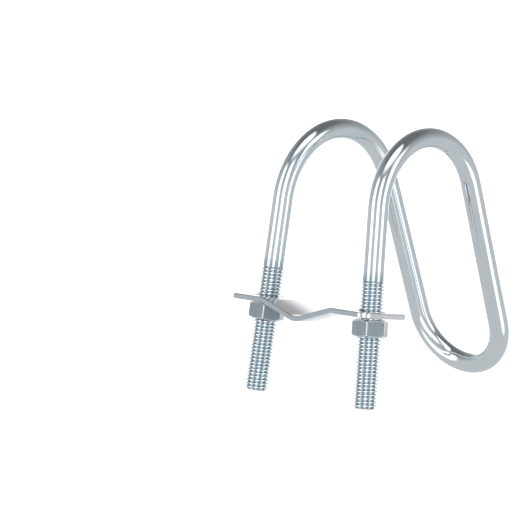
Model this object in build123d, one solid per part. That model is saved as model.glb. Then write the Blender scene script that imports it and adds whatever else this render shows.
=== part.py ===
from build123d import *
import os
from math import atan, cos, radians, sin, sqrt, tan

os.makedirs("parts", exist_ok=True)

# Double hook bolt with a saddle plate, sized for M10 threads. All lengths in mm, angles in degrees.
# Origin: mid-way between the studs, on the plane of the saddle plate's flat upper faces.
# +X runs from the left stud to the right stud, +Y is the way the hooks reach, +Z points up the studs.

# Bar
thread_d = 10.0           # M10, modelled at its major diameter
shank_d = 8.8             # plain bar that the threads are rolled from
thread_length = 53.0
tip_chamfer = 1.0
stud_spacing = 59.6       # centre to centre at the plate's upper face
stud_splay = 2.9          # each stud leans outwards going down
stud_top_z = 42.5         # where the stud runs into the hook
stud_tip_z = -40.6
hook_radius = 31.8        # centreline
hook_turn = 153.5         # the bar turns through this angle from stud to outer leg
leg_length = 66.5
leg_splay = 1.3           # the outer legs lean towards each other going down

# Saddle plate: flat ends on the studs, a shallow vee across the middle
plate_length = 79.0
plate_width = 28.0
plate_thickness = 2.3
plate_corner_r = 4.2
plate_shift_y = -0.5      # sideways play in the slots
vee_depth = 6.3
vee_half_length = 19.5
vee_bottom_r = 11.4       # on the middle surface
vee_shoulder_r = 12.2
slot_width = 12.0
slot_length = 14.0

# Hexagon nuts
nut_across_flats = 14.0
nut_height = 7.5
nut_bore_d = 10.7         # clears the stud's major diameter
nut_mouth_d = 11.3
nut_mouth_depth = 0.3
nut_face_d = 13.2         # flat ring left by the corner chamfers
nut_chamfer_angle = 30.0
nut_turn = 3.0            # direction of one corner, seen from above
left_nut_gap = 0.4        # at the stud, plate's underside to the nut
right_nut_gap = 1.1

stud_slope = tan(radians(stud_splay))
leg_slope = tan(radians(leg_splay))
turn = radians(hook_turn)


def stud_point(z):
    """Point on the right stud's axis at height z."""
    return Vector(stud_spacing / 2 - stud_slope * z, 0, z)


def hook_point(angle):
    """Point on the right hook's centreline; the lean changes evenly from the stud's to the leg's."""
    lean = stud_slope * angle + (leg_slope - stud_slope) * angle**2 / (2 * turn)
    x = stud_point(stud_top_z).X - hook_radius * lean
    y = hook_radius * (1 - cos(angle))
    z = stud_top_z + hook_radius * sin(angle)
    return Vector(x, y, z)


stud_up = (stud_point(1) - stud_point(0)).normalized()
legs_down = Vector(0, sin(turn), cos(turn))
leg_down = (legs_down - Vector(leg_slope, 0, 0)).normalized()
leg_end = hook_point(turn) + (legs_down - Vector(leg_slope, 0, 0)) * leg_length


def rod(start, end, radius):
    """Round bar between two points."""
    run = end - start
    height = run.length
    return Plane(origin=start, z_dir=run) * Cylinder(radius, height, align=(Align.CENTER, Align.CENTER, Align.MIN))


def frustum(start, end, start_radius, end_radius):
    """Cone section between two points."""
    run = end - start
    height = run.length
    cone = Cone(start_radius, end_radius, height, align=(Align.CENTER, Align.CENTER, Align.MIN))
    return Plane(origin=start, z_dir=run) * cone


def bar_side():
    """Right stud, hook and outer leg."""
    shank_r = shank_d / 2
    thread_r = thread_d / 2
    tip = stud_point(stud_tip_z)
    chamfer_end = tip + stud_up * tip_chamfer
    thread_end = tip + stud_up * thread_length
    runout_end = thread_end + stud_up * (thread_r - shank_r)

    side = frustum(tip, chamfer_end, thread_r - tip_chamfer, thread_r)
    side += rod(chamfer_end, thread_end, thread_r)
    side += frustum(thread_end, runout_end, thread_r, shank_r)
    side += rod(runout_end, stud_point(stud_top_z), shank_r)

    steps = 8
    points = [hook_point(turn * i / steps) for i in range(steps + 1)]
    arc = Spline(points, tangents=(stud_up, leg_down), tangent_scalars=(1, 1))
    side += sweep(Plane(origin=points[0], z_dir=stud_up) * Circle(shank_r), path=arc)
    side += rod(points[-1], leg_end, shank_r)
    return side


def bottom_bend():
    """Round bend that joins the two outer legs."""
    lean = radians(leg_splay)
    radius = leg_end.X / cos(lean)
    centre = Vector(0, leg_end.Y, leg_end.Z) - legs_down * (radius * sin(lean))
    axis = Axis(centre, legs_down.cross(Vector(-1, 0, 0)))
    section = Plane(origin=leg_end, z_dir=leg_down) * Circle(shank_d / 2)
    return revolve(section, axis=axis, revolution_arc=180 - 2 * leg_splay)


def corners_at(face, x, y):
    """The outline's corners at this height, x to either side of the middle."""
    return [v for v in face.vertices() if abs(abs(v.X) - x) < 0.01 and abs(v.Y - y) < 0.01]


def saddle_plate():
    """Waved flat bar with rounded corners and two slots."""
    end_x = plate_length / 2
    skin = plate_thickness / 2
    slope = atan(vee_depth / vee_half_length)
    outline = []
    rounds = []
    for out in (1, -1):
        level = (out - 1) * skin
        knee = vee_half_length - out * skin * tan(slope / 2)
        dip = out * skin / cos(slope) - skin - vee_depth
        outline += [(-out * end_x, level), (-out * knee, level), (0, dip), (out * knee, level), (out * end_x, level)]
        rounds += [(knee, level, vee_shoulder_r + out * skin), (0, dip, vee_bottom_r - out * skin)]
    face = make_face(Polyline(*outline, close=True))
    for x, y, radius in rounds:
        face = fillet(corners_at(face, x, y), radius)
    plate = extrude(Plane.XZ * face, amount=plate_width / 2, both=True)
    ends = [e for e in plate.edges().filter_by(Axis.Z) if abs(abs(e.center().X) - end_x) < 0.01]
    plate = fillet(ends, plate_corner_r)
    for side in (-1, 1):
        slot = extrude(SlotOverall(slot_length, slot_width), amount=20)
        plate -= Pos(side * stud_spacing / 2, -plate_shift_y, -10) * slot
    return Pos(0, plate_shift_y, 0) * plate


def nut_blank():
    """Double-chamfered hexagon nut standing on z = 0."""
    corner_r = nut_across_flats / sqrt(3)
    face_r = nut_face_d / 2
    rise = (corner_r - face_r) * tan(radians(nut_chamfer_angle))
    hexagon = RegularPolygon(nut_across_flats / 2, 6, major_radius=False)
    prism = extrude(hexagon, amount=nut_height)
    foot = Vector(0, 0, 0)
    head = Vector(0, 0, nut_height)
    lift = Vector(0, 0, rise)
    limit = frustum(foot, foot + lift, face_r, corner_r)
    limit += rod(foot + lift, head - lift, corner_r)
    limit += frustum(head - lift, head, corner_r, face_r)
    nut = prism & limit
    nut -= rod(foot - lift, head + lift, nut_bore_d / 2)
    mouth = Vector(0, 0, nut_mouth_depth)
    nut -= frustum(foot, foot + mouth, nut_mouth_d / 2, nut_bore_d / 2)
    nut -= frustum(head - mouth, head, nut_bore_d / 2, nut_mouth_d / 2)
    return nut


def nut_on_stud(side, gap):
    """Nut square to its stud, its upper face at the stated gap under the plate."""
    top = stud_point(-plate_thickness - gap)
    top = Vector(side * top.X, 0, top.Z)
    up = Vector(side * stud_up.X, 0, stud_up.Z)
    seat = Plane(origin=top - up * nut_height, x_dir=Vector(up.Z, 0, -up.X), z_dir=up)
    spin = Rot(0, 0, nut_turn)
    return seat * spin * nut_blank()


side = bar_side()
hook_bar = side + bottom_bend() + mirror(side, about=Plane.YZ)

nodes = {
    "hook_bar": hook_bar,
    "saddle_plate": saddle_plate(),
    "left_nut": nut_on_stud(-1, left_nut_gap),
    "right_nut": nut_on_stud(1, right_nut_gap),
}

for name, shape in nodes.items():
    shape.label = name
    export_step(shape, f"parts/{name}.step")
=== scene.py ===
from math import atan, atan2, cos, pi, radians, sin, tan

import bmesh
import bpy
from mathutils import Matrix, Vector


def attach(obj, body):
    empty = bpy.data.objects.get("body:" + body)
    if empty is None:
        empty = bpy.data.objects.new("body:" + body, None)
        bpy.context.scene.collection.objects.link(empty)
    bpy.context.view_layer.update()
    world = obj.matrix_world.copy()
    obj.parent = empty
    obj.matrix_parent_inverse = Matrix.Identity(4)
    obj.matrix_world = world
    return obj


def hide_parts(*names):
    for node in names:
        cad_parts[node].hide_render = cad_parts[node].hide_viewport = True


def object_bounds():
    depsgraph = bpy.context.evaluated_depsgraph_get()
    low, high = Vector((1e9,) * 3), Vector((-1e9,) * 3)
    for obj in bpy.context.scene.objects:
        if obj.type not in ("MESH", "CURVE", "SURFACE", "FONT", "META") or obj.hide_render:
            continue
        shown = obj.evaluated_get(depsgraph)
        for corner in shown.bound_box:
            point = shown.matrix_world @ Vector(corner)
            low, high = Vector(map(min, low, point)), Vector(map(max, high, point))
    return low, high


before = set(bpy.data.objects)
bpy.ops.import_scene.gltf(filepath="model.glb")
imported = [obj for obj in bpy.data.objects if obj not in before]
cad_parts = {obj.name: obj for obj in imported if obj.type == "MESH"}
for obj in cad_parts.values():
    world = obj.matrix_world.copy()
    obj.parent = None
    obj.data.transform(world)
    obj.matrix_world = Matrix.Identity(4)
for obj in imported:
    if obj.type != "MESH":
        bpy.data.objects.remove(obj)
cad_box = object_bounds()

# ---- Dimensions of the double hook bolt, in metres ----
MM = 0.001
thread_r = 5.0 * MM
root_r = 4.0 * MM
shank_r = 4.4 * MM
pitch = 1.5 * MM
thread_length = 53.0 * MM
tip_chamfer = 1.0 * MM
half_spacing = 29.8 * MM
stud_slope = tan(radians(2.9))
leg_splay = radians(1.3)
leg_slope = tan(leg_splay)
stud_top_z = 42.5 * MM
stud_tip_z = -40.6 * MM
hook_radius = 31.8 * MM
turn = radians(153.5)
leg_length = 66.5 * MM

plate_length = 79.0 * MM
plate_width = 28.0 * MM
plate_thickness = 2.3 * MM
plate_corner = 4.2 * MM
plate_bevel = 0.45 * MM
plate_shift_y = -0.5 * MM
vee_depth = 6.3 * MM
vee_half = 19.5 * MM
vee_bottom_r = 11.4 * MM
vee_shoulder_r = 12.2 * MM
slot_width = 12.0 * MM
slot_length = 14.0 * MM

nut_flats = 14.0 * MM
nut_height = 7.5 * MM
nut_face_r = 6.4 * MM
nut_bore_r = 5.36 * MM
nut_chamfer_slope = tan(radians(30))
nut_mouth = 0.5 * MM
nut_thread_depth = 0.25 * MM
nut_turn = radians(-27.0)
nut_gap = {"left_nut": 0.4 * MM, "right_nut": 1.1 * MM}

stud_up = Vector((-stud_slope, 0, 1)).normalized()
X = Vector((1, 0, 0))


def smooth(x, low, high):
    """0 below low, 1 above high, eased between."""
    t = min(max((x - low) / (high - low), 0.0), 1.0)
    return t * t * (3 - 2 * t)


# ---- Mesh helpers ----
def finish_mesh(name, bm, sharp_angle=40.0):
    """Turns a bmesh into a shaded object with its edges marked for worn plating and a painted highlight."""
    bmesh.ops.remove_doubles(bm, verts=bm.verts, dist=1e-7)
    bmesh.ops.recalc_face_normals(bm, faces=bm.faces)
    mesh = bpy.data.meshes.new(name)
    bm.to_mesh(mesh)
    bm.free()
    obj = bpy.data.objects.new(name, mesh)
    bpy.context.scene.collection.objects.link(obj)
    shade(obj.data, sharp_angle)
    return obj


def apply_modifiers(obj):
    """Bakes the modifiers into the mesh."""
    graph = bpy.context.evaluated_depsgraph_get()
    mesh = bpy.data.meshes.new_from_object(obj.evaluated_get(graph))
    old = obj.data
    obj.modifiers.clear()
    obj.data = mesh
    bpy.data.meshes.remove(old)


def shade(mesh, sharp_angle):
    """Smooth shading with sharp edges above the angle, and an edge value that is 1 on edges, used for worn
    plating and a painted highlight there.
    """
    bm = bmesh.new()
    bm.from_mesh(mesh)
    for face in bm.faces:
        face.smooth = True
    for edge in bm.edges:
        if len(edge.link_faces) == 2:
            edge.smooth = edge.calc_face_angle(0.0) < radians(sharp_angle)
    wear_and_highlight = bm.verts.layers.float.get("wear_and_highlight") or bm.verts.layers.float.new("wear_and_highlight")
    for vert in bm.verts:
        shared = [edge for edge in vert.link_edges if len(edge.link_faces) == 2]
        bend = max((edge.calc_face_angle(0.0) for edge in shared), default=0.0)
        vert[wear_and_highlight] = smooth(bend, radians(8), radians(28))
    bm.to_mesh(mesh)
    bm.free()


# ---- Round bar: studs, hooks, legs and bottom bend in one tube ----
def stud_point(z):
    return Vector((half_spacing - stud_slope * z, 0, z))


def hook_point(angle):
    lean = stud_slope * angle + (leg_slope - stud_slope) * angle**2 / (2 * turn)
    x = stud_point(stud_top_z).x - hook_radius * lean
    return Vector((x, hook_radius * (1 - cos(angle)), stud_top_z + hook_radius * sin(angle)))


def half_route():
    """Centreline of the right half, from the stud's tip to the middle of the bottom bend."""
    tip = stud_point(stud_tip_z)
    step = pitch / 14
    count = int((thread_length + pitch) / step)
    route = [tip + stud_up * (step * i) for i in range(count)]
    start = route[-1]
    top = stud_point(stud_top_z)
    route += [start.lerp(top, i / 8) for i in range(1, 8)]
    route += [hook_point(turn * i / 72) for i in range(73)]
    down = Vector((0, sin(turn), cos(turn)))
    leg_run = (down - X * leg_slope) * leg_length
    leg_end = hook_point(turn) + leg_run
    route += [hook_point(turn) + leg_run * (i / 16) for i in range(1, 16)]
    radius = leg_end.x / cos(leg_splay)
    centre = Vector((0, leg_end.y, leg_end.z)) - down * (radius * sin(leg_splay))
    for i in range(49):
        angle = leg_splay + (pi / 2 - leg_splay) * i / 48
        route.append(centre + (X * cos(angle) + down * sin(angle)) * radius)
    return route


def thread_radius(height, angle):
    """Radius of the stud at a height above its tip; right-handed thread."""
    phase = height / pitch - angle / (2 * pi)
    tooth = 0.40 + 1.05 * cos(2 * pi * phase)
    tooth = min(max(tooth, 0.0), 1.0)
    radius = root_r + (thread_r - root_r) * tooth
    fade = smooth(height, thread_length - 0.6 * pitch, thread_length + 0.4 * pitch)
    radius += (shank_r - radius) * fade
    return min(radius, thread_r - tip_chamfer + height)


def bar():
    """The whole bar. grain holds the distance along it and round it, and the painted shade mask how far down
    into the thread a point lies, which paints shade into the thread roots.
    """
    right = half_route()
    left = [Vector((-p.x, p.y, p.z)) for p in right]
    route = left + right[-2::-1]
    segments = 72
    bm = bmesh.new()
    grain = bm.verts.layers.float_vector.new("grain")
    painted_shade_mask = bm.verts.layers.float.new("painted_shade_mask")
    tips = (left[0], right[0])
    ups = (Vector((-stud_up.x, 0, stud_up.z)), stud_up)
    tangent = (route[1] - route[0]).normalized()
    side = X - tangent * X.dot(tangent)
    side.normalize()
    along = 0.0
    rings = []
    for i, point in enumerate(route):
        before = route[max(i - 1, 0)]
        after = route[min(i + 1, len(route) - 1)]
        along += (point - before).length
        new_tangent = (after - before).normalized()
        side = tangent.rotation_difference(new_tangent) @ side
        side = (side - new_tangent * side.dot(new_tangent)).normalized()
        tangent = new_tangent
        other = tangent.cross(side)
        near = 0 if point.x < 0 else 1
        height = (point - tips[near]).dot(ups[near])
        threaded = point.y < 1e-6 and height < thread_length + pitch
        ring = []
        for k in range(segments):
            around = 2 * pi * k / segments
            out = side * cos(around) + other * sin(around)
            radius = shank_r
            if threaded:
                radius = thread_radius(height, atan2(out.y, out.x))
            vert = bm.verts.new(point + out * radius)
            vert[grain] = (along, around * shank_r, 0)
            # Painted shade: the further down into the thread, the darker the tint.
            vert[painted_shade_mask] = smooth(thread_r - radius, 0.25 * MM, 0.85 * MM) if threaded else 0.0
            ring.append(vert)
        rings.append(ring)
    for ring, nxt in zip(rings, rings[1:]):
        for k in range(segments):
            bm.faces.new((ring[k - 1], ring[k], nxt[k], nxt[k - 1]))
    bm.faces.new(rings[0])
    bm.faces.new(rings[-1])
    return finish_mesh("bar", bm, sharp_angle=60)


# ---- Saddle plate ----
def vee_profile():
    """Middle line of the plate from its centre to its right end: (x, z, slope) with rounded bends."""
    skin = plate_thickness / 2
    slope = atan(vee_depth / vee_half)
    low = tan(slope / 2) * vee_bottom_r
    high = tan(slope / 2) * vee_shoulder_r
    points = []
    for i in range(9):
        a = slope * i / 8
        points.append((vee_bottom_r * sin(a), -skin - vee_depth + vee_bottom_r * (1 / cos(slope) - cos(a)), a))
    start_x = vee_half - high * cos(slope)
    start_z = -skin - high * sin(slope)
    for i in range(1, 6):
        t = i / 6
        x0, z0 = low * cos(slope), -skin - vee_depth + low * sin(slope)
        points.append((x0 + (start_x - x0) * t, z0 + (start_z - z0) * t, slope))
    for i in range(13):
        a = slope * (1 - i / 12)
        points.append((vee_half + high - vee_shoulder_r * sin(a), -skin - vee_shoulder_r * (1 - cos(a)), a))
    end = plate_length / 2 - plate_corner
    x0 = points[-1][0]
    for i in range(1, 9):
        points.append((x0 + (end - x0) * i / 8, -skin, 0.0))
    return points


def plate():
    """Ladder of outlines, inset towards both faces for the rounded edge, then slotted."""
    right = vee_profile()
    half_w = plate_width / 2
    end = plate_length / 2 - plate_corner
    stations = [(-x, z, -a, 0.0) for x, z, a in reversed(right[1:])]
    stations += [(x, z, a, 0.0) for x, z, a in right]
    arc = [pi / 2 * i / 10 for i in range(1, 11)]
    stations += [(end, -plate_thickness / 2, 0.0, a) for a in arc]
    stations = [(-end, -plate_thickness / 2, 0.0, -a) for a in reversed(arc)] + stations

    levels = []
    for i in range(5):
        a = pi / 2 * i / 4
        levels.append((plate_bevel * (1 - sin(a)), -plate_thickness / 2 + plate_bevel * (1 - cos(a))))
    levels += [(inset, -up) for inset, up in reversed(levels)]

    bm = bmesh.new()
    grain = bm.verts.layers.float_vector.new("grain")
    painted_shade_mask = bm.verts.layers.float.new("painted_shade_mask")
    rails = []
    for inset, up in levels:
        rail = {1: [], -1: []}
        for x, z, slope, corner in stations:
            radius = plate_corner - inset
            reach_x = radius * sin(corner)
            reach_y = half_w - plate_corner + radius * cos(corner)
            for side in (1, -1):
                place_x = x + reach_x - up * sin(slope)
                place_y = side * reach_y + plate_shift_y
                place = Vector((place_x, place_y, z + up * cos(slope)))
                vert = bm.verts.new(place)
                vert[grain] = place
                # Painted shade on the plate's long side edges, fading out round the corners.
                side_edge_shade = smooth(plate_bevel - inset, 0.3 * plate_bevel, plate_bevel)
                vert[painted_shade_mask] = side_edge_shade * (1 - abs(sin(corner)))
                rail[side].append(vert)
        rails.append(rail)
    for rail in (rails[0], rails[-1]):
        for i in range(len(stations) - 1):
            bm.faces.new((rail[1][i], rail[1][i + 1], rail[-1][i + 1], rail[-1][i]))
    for low, high in zip(rails, rails[1:]):
        for side in (1, -1):
            for i in range(len(stations) - 1):
                bm.faces.new((low[side][i], low[side][i + 1], high[side][i + 1], high[side][i]))
        for i in (0, -1):
            bm.faces.new((low[1][i], low[-1][i], high[-1][i], high[1][i]))
    piece = finish_mesh("plate", bm)
    for side in (-1, 1):
        cut(piece, slot_cutter(side))
    shade(piece.data, 30)
    return piece


def slot_cutter(side):
    """Slot-shaped cutter, flared a little at both faces."""
    bm = bmesh.new()
    run = (slot_length - slot_width) / 2
    loops = []
    for z, flare in ((1.0, 1.3), (-0.3, 0.0), (-2.0, 0.0), (-3.3, 1.3)):
        loop = []
        for k in range(64):
            a = 2 * pi * (k + 0.5) / 64
            radius = slot_width / 2 + flare * MM
            x = side * half_spacing + (run if cos(a) > 0 else -run) + radius * cos(a)
            loop.append(bm.verts.new((x, radius * sin(a), z * MM)))
        loops.append(loop)
    for low, high in zip(loops, loops[1:]):
        for k in range(64):
            bm.faces.new((low[k - 1], low[k], high[k], high[k - 1]))
    bm.faces.new(loops[0])
    bm.faces.new(loops[-1])
    return finish_mesh("cutter", bm)


def cut(obj, cutter):
    """Cuts one mesh out of another and removes the cutter."""
    mod = obj.modifiers.new("cut", "BOOLEAN")
    mod.operation = "DIFFERENCE"
    mod.solver = "EXACT"
    mod.object = cutter
    apply_modifiers(obj)
    bpy.data.objects.remove(cutter)


# ---- Nuts ----
def hexagon():
    """Outline with slightly rounded corners: (angle, radius)."""
    flat = nut_flats / 2
    steps = [radians(a) for a in (-28.9, -27.6, -24, -18, -12, -6, 0, 6, 12, 18, 24, 27.6, 28.9)]
    points = []
    for side in range(6):
        middle = side * pi / 3
        points += [(middle + a, flat / cos(a)) for a in steps]
        points.append((middle + pi / 6, flat / cos(steps[-1]) + 0.02 * MM))
    return points


def nut(name):
    """Double-chamfered hexagon nut with a threaded bore."""
    outline = hexagon()
    rise = nut_chamfer_slope
    top = nut_height / 2
    bm = bmesh.new()
    grain = bm.verts.layers.float_vector.new("grain")
    painted_shade_mask = bm.verts.layers.float.new("painted_shade_mask")

    def ring(radius_at, z_at):
        loop = []
        for a, r in outline:
            radius = radius_at(a, r)
            vert = bm.verts.new((radius * cos(a), radius * sin(a), z_at(radius)))
            vert[grain] = vert.co
            loop.append(vert)
        return loop

    rings = []
    for side in (-1, 1):
        chain = [
            ring(lambda a, r: nut_bore_r + nut_mouth, lambda r: side * top),
            ring(lambda a, r: nut_face_r - 0.4 * MM, lambda r: side * top),
            ring(lambda a, r: nut_face_r, lambda r: side * top),
            ring(lambda a, r: r, lambda r: side * (top - (r - nut_face_r) * rise)),
            ring(lambda a, r: r, lambda r: side * (top - 0.25 * MM - (r - nut_face_r) * rise)),
        ]
        rings.append(chain)
    steps = 44
    bore = []
    for i in range(1, steps):
        z = -top + nut_height * i / steps
        flare = max(0.0, nut_mouth - (top - abs(z)))
        loop = []
        for a, r in outline:
            wave = 0.5 + 0.5 * cos(2 * pi * (z / pitch) - a)
            radius = nut_bore_r + nut_thread_depth * wave * (1 - flare / nut_mouth) + flare
            vert = bm.verts.new((radius * cos(a), radius * sin(a), z))
            vert[grain] = vert.co
            # Painted shade in the bore, darkest in the thread grooves.
            vert[painted_shade_mask] = 0.4 + 0.6 * wave
            loop.append(vert)
        bore.append(loop)
    order = [*rings[0][::-1], *bore, *rings[1]]
    count = len(outline)
    for low, high in zip(order, order[1:]):
        for k in range(count):
            bm.faces.new((low[k - 1], low[k], high[k], high[k - 1]))
    for k in range(count):
        low, high = rings[0][4], rings[1][4]
        bm.faces.new((low[k - 1], low[k], high[k], high[k - 1]))
    return finish_mesh(name, bm, sharp_angle=50)


def place_nut(piece, name):
    """Sets the nut square to its stud."""
    side = -1 if name == "left_nut" else 1
    seat = stud_point(-plate_thickness - nut_gap[name])
    up = Vector((side * stud_up.x, 0, stud_up.z))
    middle = Vector((side * seat.x, 0, seat.z)) - up * (nut_height / 2)
    across = Vector((up.z, 0, -up.x))
    frame_matrix = Matrix((across, up.cross(across), up)).transposed().to_4x4()
    piece.data.transform(Matrix.Translation(middle) @ frame_matrix @ Matrix.Rotation(nut_turn, 4, "Z"))


# ---- Materials ----
def add(tree, kind, settings=None, **links):
    """Adds a node; links name its inputs, or number them as i0, i1, and give each a socket or a value."""
    node = tree.nodes.new(kind)
    for key, value in (settings or {}).items():
        setattr(node, key, value)
    for key, value in links.items():
        numbered = key[0] == "i" and key[1:].isdigit()
        socket = node.inputs[int(key[1:]) if numbered else key.replace("_", " ")]
        if isinstance(value, bpy.types.NodeSocket):
            tree.links.new(value, socket)
        else:
            socket.default_value = value
    return node


def noise(tree, vector, scale, detail=3.0):
    node = add(tree, "ShaderNodeTexNoise", Vector=vector, Scale=scale, Detail=detail)
    return node.outputs["Fac"]


def remap(tree, value, low, high, to_low, to_high):
    node = add(tree, "ShaderNodeMapRange", i0=value, i1=low, i2=high, i3=to_low, i4=to_high)
    return node.outputs[0]


def blend_colour(tree, factor, first, second):
    node = add(tree, "ShaderNodeMix", {"data_type": "RGBA"}, i0=factor)
    for socket, value in ((node.inputs[6], first), (node.inputs[7], second)):
        if isinstance(value, bpy.types.NodeSocket):
            tree.links.new(value, socket)
        else:
            socket.default_value = (*value, 1)
    return node.outputs[2]


def zinc(name, cool, warm, painted_shade_colour, rubbed_and_highlight, rough, streak):
    """Bright zinc plate: drawn streaks along the grain, faint blue and straw clouds, and edges lightened
    partly as worn plating, partly as a painted highlight.

    The shade colour is painted shade in thread roots, nut bores and on the plate's cut side edges; the edge
    colour lightens worn edges and also paints a highlight along them.
    """
    material = bpy.data.materials.new(name)
    material.use_nodes = True
    tree = material.node_tree
    shader = tree.nodes["Principled BSDF"]
    shader.inputs["Metallic"].default_value = 1.0

    place = add(tree, "ShaderNodeTexCoord").outputs["Object"]
    grain = add(tree, "ShaderNodeAttribute", {"attribute_name": "grain"}).outputs["Vector"]
    lines = add(tree, "ShaderNodeMapping", Vector=grain, Scale=streak).outputs["Vector"]
    drawn = noise(tree, lines, 1.0, 4.0)
    clouds = noise(tree, place, 90.0, 4.0)
    specks = noise(tree, place, 900.0, 2.0)
    wear_and_highlight = add(tree, "ShaderNodeAttribute", {"attribute_name": "wear_and_highlight"}).outputs["Fac"]
    painted_shade_mask = add(tree, "ShaderNodeAttribute", {"attribute_name": "painted_shade_mask"}).outputs["Fac"]

    colour = blend_colour(tree, remap(tree, clouds, 0.35, 0.65, 0.0, 1.0), cool, warm)
    dull = tuple(c * 0.86 for c in cool)
    colour = blend_colour(tree, remap(tree, drawn, 0.5, 0.75, 0.0, 0.5), colour, dull)
    # Edges lightened: partly worn plating, partly a painted highlight.
    colour = blend_colour(tree, remap(tree, wear_and_highlight, 0.0, 1.0, 0.0, 0.9), colour, rubbed_and_highlight)
    # Painted shade in thread roots, nut bores and on the plate's side edges.
    colour = blend_colour(tree, remap(tree, painted_shade_mask, 0.0, 1.0, 0.0, 0.9), colour, painted_shade_colour)
    tree.links.new(colour, shader.inputs["Base Color"])

    base = remap(tree, drawn, 0.3, 0.7, rough * 0.8, rough * 1.25)
    spots = remap(tree, specks, 0.35, 0.7, -0.01, 0.03)
    polish = remap(tree, wear_and_highlight, 0.0, 1.0, 0.0, -0.01)
    total = add(tree, "ShaderNodeMath", {"operation": "ADD"}, i0=base, i1=spots).outputs[0]
    total = add(tree, "ShaderNodeMath", {"operation": "ADD"}, i0=total, i1=polish).outputs[0]
    tree.links.new(total, shader.inputs["Roughness"])

    fine = add(tree, "ShaderNodeBump", Strength=0.03, Distance=0.00001, Height=specks).outputs["Normal"]
    relief = add(tree, "ShaderNodeBump", Strength=0.05, Distance=0.00001, Height=drawn, Normal=fine)
    tree.links.new(relief.outputs["Normal"], shader.inputs["Normal"])
    return material


bar_zinc = zinc(
    "bright_zinc_bar", cool=(0.64, 0.72, 0.77), warm=(0.70, 0.74, 0.77), painted_shade_colour=(0.28, 0.38, 0.44),
    rubbed_and_highlight=(0.86, 0.90, 0.92), rough=0.05, streak=(60, 2500, 1)
)
plate_zinc = zinc(
    "bright_zinc_plate", cool=(0.76, 0.79, 0.83), warm=(0.80, 0.81, 0.84), painted_shade_colour=(0.50, 0.58, 0.63),
    rubbed_and_highlight=(0.84, 0.87, 0.90), rough=0.12, streak=(120, 1800, 120)
)
# The nut's colours are far darker than the bar's: painted shade on its faces, not a darker zinc.
nut_zinc_painted_shade = zinc(
    "bright_zinc_nut_painted_shade", cool=(0.27, 0.33, 0.37), warm=(0.31, 0.34, 0.37), painted_shade_colour=(0.14, 0.19, 0.22),
    rubbed_and_highlight=(0.90, 0.92, 0.94), rough=0.30, streak=(700, 700, 150)
)

pieces = {
    "hook_bar": (bar(), bar_zinc, "plated_bar"),
    "saddle_plate": (plate(), plate_zinc, "plated_plate"),
    "left_nut": (nut("nut_left"), nut_zinc_painted_shade, "plated_nut"),
    "right_nut": (nut("nut_right"), nut_zinc_painted_shade, "plated_nut"),
}
for node_name, (piece, material, slot_name) in pieces.items():
    if node_name in nut_gap:
        place_nut(piece, node_name)
    piece.data.materials.clear()
    piece.data.materials.append(material)
    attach(piece, node_name)
    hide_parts(node_name)

# ---- Studio ----
camera_azimuth = 44.1
camera_elevation = 2.434
camera_roll = 5.986
camera_distance = 1.5427
camera_aim = Vector((-0.018479, -0.019497, 0.015651))


def studio_mask(tree, azimuth, elevation, centre, level, half_width, half_height, edge):
    """1 inside a soft-edged rectangle on the studio's walls."""
    offset = add(tree, "ShaderNodeMath", {"operation": "SUBTRACT"}, i0=azimuth, i1=centre).outputs[0]
    turned = add(tree, "ShaderNodeMath", {"operation": "WRAP"}, i0=offset, i1=180.0, i2=-180.0).outputs[0]
    off_x = add(tree, "ShaderNodeMath", {"operation": "ABSOLUTE"}, i0=turned).outputs[0]
    lift = add(tree, "ShaderNodeMath", {"operation": "SUBTRACT"}, i0=elevation, i1=level).outputs[0]
    off_y = add(tree, "ShaderNodeMath", {"operation": "ABSOLUTE"}, i0=lift).outputs[0]
    inside_x = remap(tree, off_x, half_width + edge, half_width, 0.0, 1.0)
    inside_y = remap(tree, off_y, half_height + edge, half_height, 0.0, 1.0)
    return add(tree, "ShaderNodeMath", {"operation": "MULTIPLY"}, i0=inside_x, i1=inside_y).outputs[0]


# Softboxes round the object: azimuth from the camera (+ to its right), elevation, half width,
# half height, soft edge, all in degrees, then brightness.
softboxes = [
    ("left strip box", -60, 0, 8, 30, 10, 2.2),
    ("front strip box", 0, 0, 8, 30, 10, 2.2),
    ("right strip box", 60, 0, 8, 30, 10, 2.2),
    ("overhead softbox", 0, 65, 40, 10, 15, 1.8),
    ("back softbox", 180, 0, 30, 20, 10, 1.4),
]
room_level = 0.70
room_top = 0.20


def studio_world():
    world = bpy.data.worlds.new("studio")
    bpy.context.scene.world = world
    world.use_nodes = True
    tree = world.node_tree
    direction = add(tree, "ShaderNodeTexCoord").outputs["Generated"]
    parts = add(tree, "ShaderNodeSeparateXYZ", Vector=direction)
    x, y, z = parts.outputs
    back_y = add(tree, "ShaderNodeMath", {"operation": "MULTIPLY"}, i0=y, i1=-1.0).outputs[0]
    angle = add(tree, "ShaderNodeMath", {"operation": "ARCTAN2"}, i0=x, i1=back_y).outputs[0]
    turned = add(tree, "ShaderNodeMath", {"operation": "DEGREES"}, i0=angle).outputs[0]
    azimuth = add(tree, "ShaderNodeMath", {"operation": "SUBTRACT"}, i0=turned, i1=camera_azimuth).outputs[0]
    height = add(tree, "ShaderNodeMath", {"operation": "ARCSINE"}, i0=z).outputs[0]
    elevation = add(tree, "ShaderNodeMath", {"operation": "DEGREES"}, i0=height).outputs[0]
    up = remap(tree, elevation, 0.0, 60.0, 0.0, 1.0)
    colour = blend_colour(tree, up, (room_level,) * 3, (room_top,) * 3)
    for _, centre, level, half_width, half_height, edge, bright in softboxes:
        mask = studio_mask(tree, azimuth, elevation, centre, level, half_width, half_height, edge)
        colour = blend_colour(tree, mask, colour, (bright, bright, bright))
    tree.links.new(colour, tree.nodes["Background"].inputs["Color"])


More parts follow.
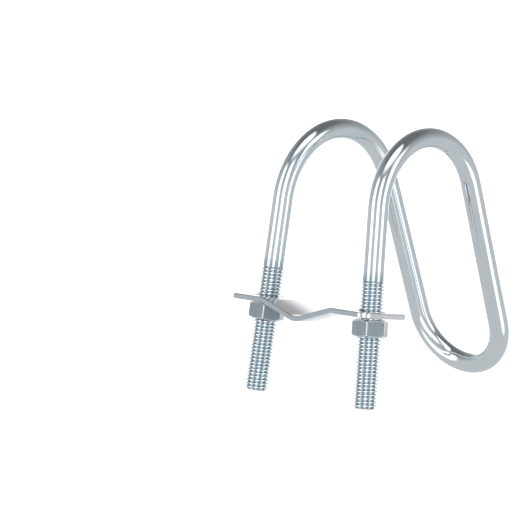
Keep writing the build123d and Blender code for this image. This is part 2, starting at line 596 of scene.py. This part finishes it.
def studio_floor():
    """Pale round floor under the stud tips. It glows a little, and the metal doesn't reflect it."""
    bm = bmesh.new()
    bmesh.ops.create_circle(bm, cap_ends=True, segments=96, radius=1.2)
    mesh = bpy.data.meshes.new("floor")
    bm.to_mesh(mesh)
    bm.free()
    floor = bpy.data.objects.new("floor", mesh)
    bpy.context.scene.collection.objects.link(floor)
    floor.location = (0.0, 0.03, cad_box[0].z)
    material = bpy.data.materials.new("pale_floor")
    material.use_nodes = True
    shader = material.node_tree.nodes["Principled BSDF"]
    shader.inputs["Base Color"].default_value = (0.86, 0.87, 0.88, 1)
    shader.inputs["Roughness"].default_value = 0.7
    shader.inputs["Emission Color"].default_value = (1, 1, 1, 1)
    shader.inputs["Emission Strength"].default_value = 0.6
    mesh.materials.append(material)
    floor.visible_glossy = False


def studio_backdrop():
    """Plain white dome that only the camera sees, so the metal reflects the room and its softboxes."""
    bm = bmesh.new()
    bmesh.ops.create_icosphere(bm, subdivisions=4, radius=6.0)
    mesh = bpy.data.meshes.new("backdrop")
    bm.to_mesh(mesh)
    bm.free()
    dome = bpy.data.objects.new("backdrop", mesh)
    bpy.context.scene.collection.objects.link(dome)
    material = bpy.data.materials.new("white_backdrop")
    material.use_nodes = True
    shader = material.node_tree.nodes["Principled BSDF"]
    shader.inputs["Base Color"].default_value = (0.9, 0.9, 0.9, 1)
    shader.inputs["Emission Color"].default_value = (1, 1, 1, 1)
    shader.inputs["Emission Strength"].default_value = 1.0
    mesh.materials.append(material)
    dome.visible_glossy = False
    dome.visible_diffuse = False
    dome.visible_shadow = False


def studio_camera():
    data = bpy.data.cameras.new("camera")
    data.sensor_width = 36.0
    data.lens = 253.3
    data.clip_start = 0.05
    data.clip_end = 20.0
    camera = bpy.data.objects.new("camera", data)
    bpy.context.scene.collection.objects.link(camera)
    a, e = radians(camera_azimuth), radians(camera_elevation)
    back = Vector((sin(a) * cos(e), -cos(a) * cos(e), sin(e)))
    camera.location = camera_aim + back * camera_distance
    camera.rotation_mode = "QUATERNION"
    facing = (-back).to_track_quat("-Z", "Y")
    camera.rotation_quaternion = facing @ Matrix.Rotation(radians(camera_roll), 3, "Z").to_quaternion()
    bpy.context.scene.camera = camera


studio_world()
studio_floor()
studio_backdrop()
studio_camera()
bpy.context.scene.view_settings.view_transform = "Standard"
